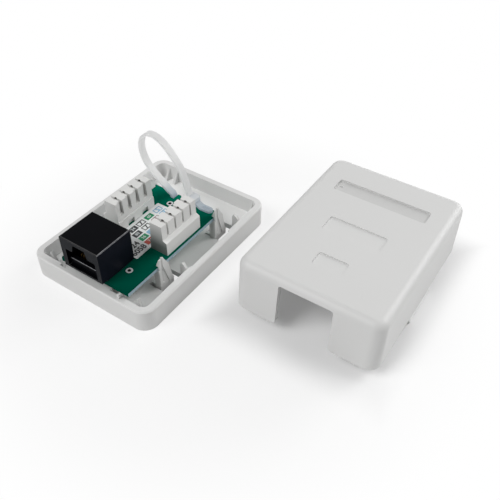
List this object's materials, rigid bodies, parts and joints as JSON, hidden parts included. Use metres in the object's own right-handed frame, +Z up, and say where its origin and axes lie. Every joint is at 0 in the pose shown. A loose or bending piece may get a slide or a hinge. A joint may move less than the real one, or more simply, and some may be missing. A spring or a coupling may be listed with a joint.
{
  "type": "surface-mount network wall socket",
  "caption": "Surface-mount data socket box lying open: tray with board, black modular socket, punch-down terminal blocks and cable tie, with its cover taken off beside it.",
  "frame": {"origin": "middle of the tray's underside, on the surface that the box stands on or is fixed to", "axes": "+X to the tray's right side, where the cover stands; -Y the way the socket's mouth looks; +Z up out of the open tray"},
  "size_m": [0.1123, 0.087, 0.0339],
  "materials": {
    "tray_plastic": "satin moulded, light grey-white",
    "cover_plastic": "satin moulded, light grey-white",
    "board_laminate": "glass-epoxy laminate with dark green lacquer",
    "label_print": "printed paper label with plain colour fields",
    "socket_plastic": "smooth black moulding",
    "carrier_plastic": "smooth black moulding",
    "terminal_plastic": "matt moulded, off-white",
    "tie_plastic": "satin nylon, blue",
    "tinned_metal": "bright tin",
    "plated_contact": "thin gold plate on spring bronze",
    "tinned_contact": "tin plate on spring bronze"
  },
  "bodies": {
    "root": {"base_tray": "tray_plastic", "cover": "cover_plastic", "circuit_board": "board_laminate", "wiring_label": "label_print", "jack_housing": "socket_plastic", "contact_carrier": "carrier_plastic", "idc_block_left": "terminal_plastic", "idc_block_right": "terminal_plastic", "cable_tie": "tie_plastic", "plated_hole_rings": "tinned_metal", "solder_joints": "tinned_metal", "jack_contact_1": "plated_contact", "jack_contact_2": "plated_contact", "jack_contact_3": "plated_contact", "jack_contact_4": "plated_contact", "jack_contact_5": "plated_contact", "jack_contact_6": "plated_contact", "jack_contact_7": "plated_contact", "jack_contact_8": "plated_contact", "idc_contact_left_1": "tinned_contact", "idc_contact_left_2": "tinned_contact", "idc_contact_left_3": "tinned_contact", "idc_contact_left_4": "tinned_contact", "idc_contact_right_1": "tinned_contact", "idc_contact_right_2": "tinned_contact", "idc_contact_right_3": "tinned_contact", "idc_contact_right_4": "tinned_contact"}
  },
  "joints": []
}
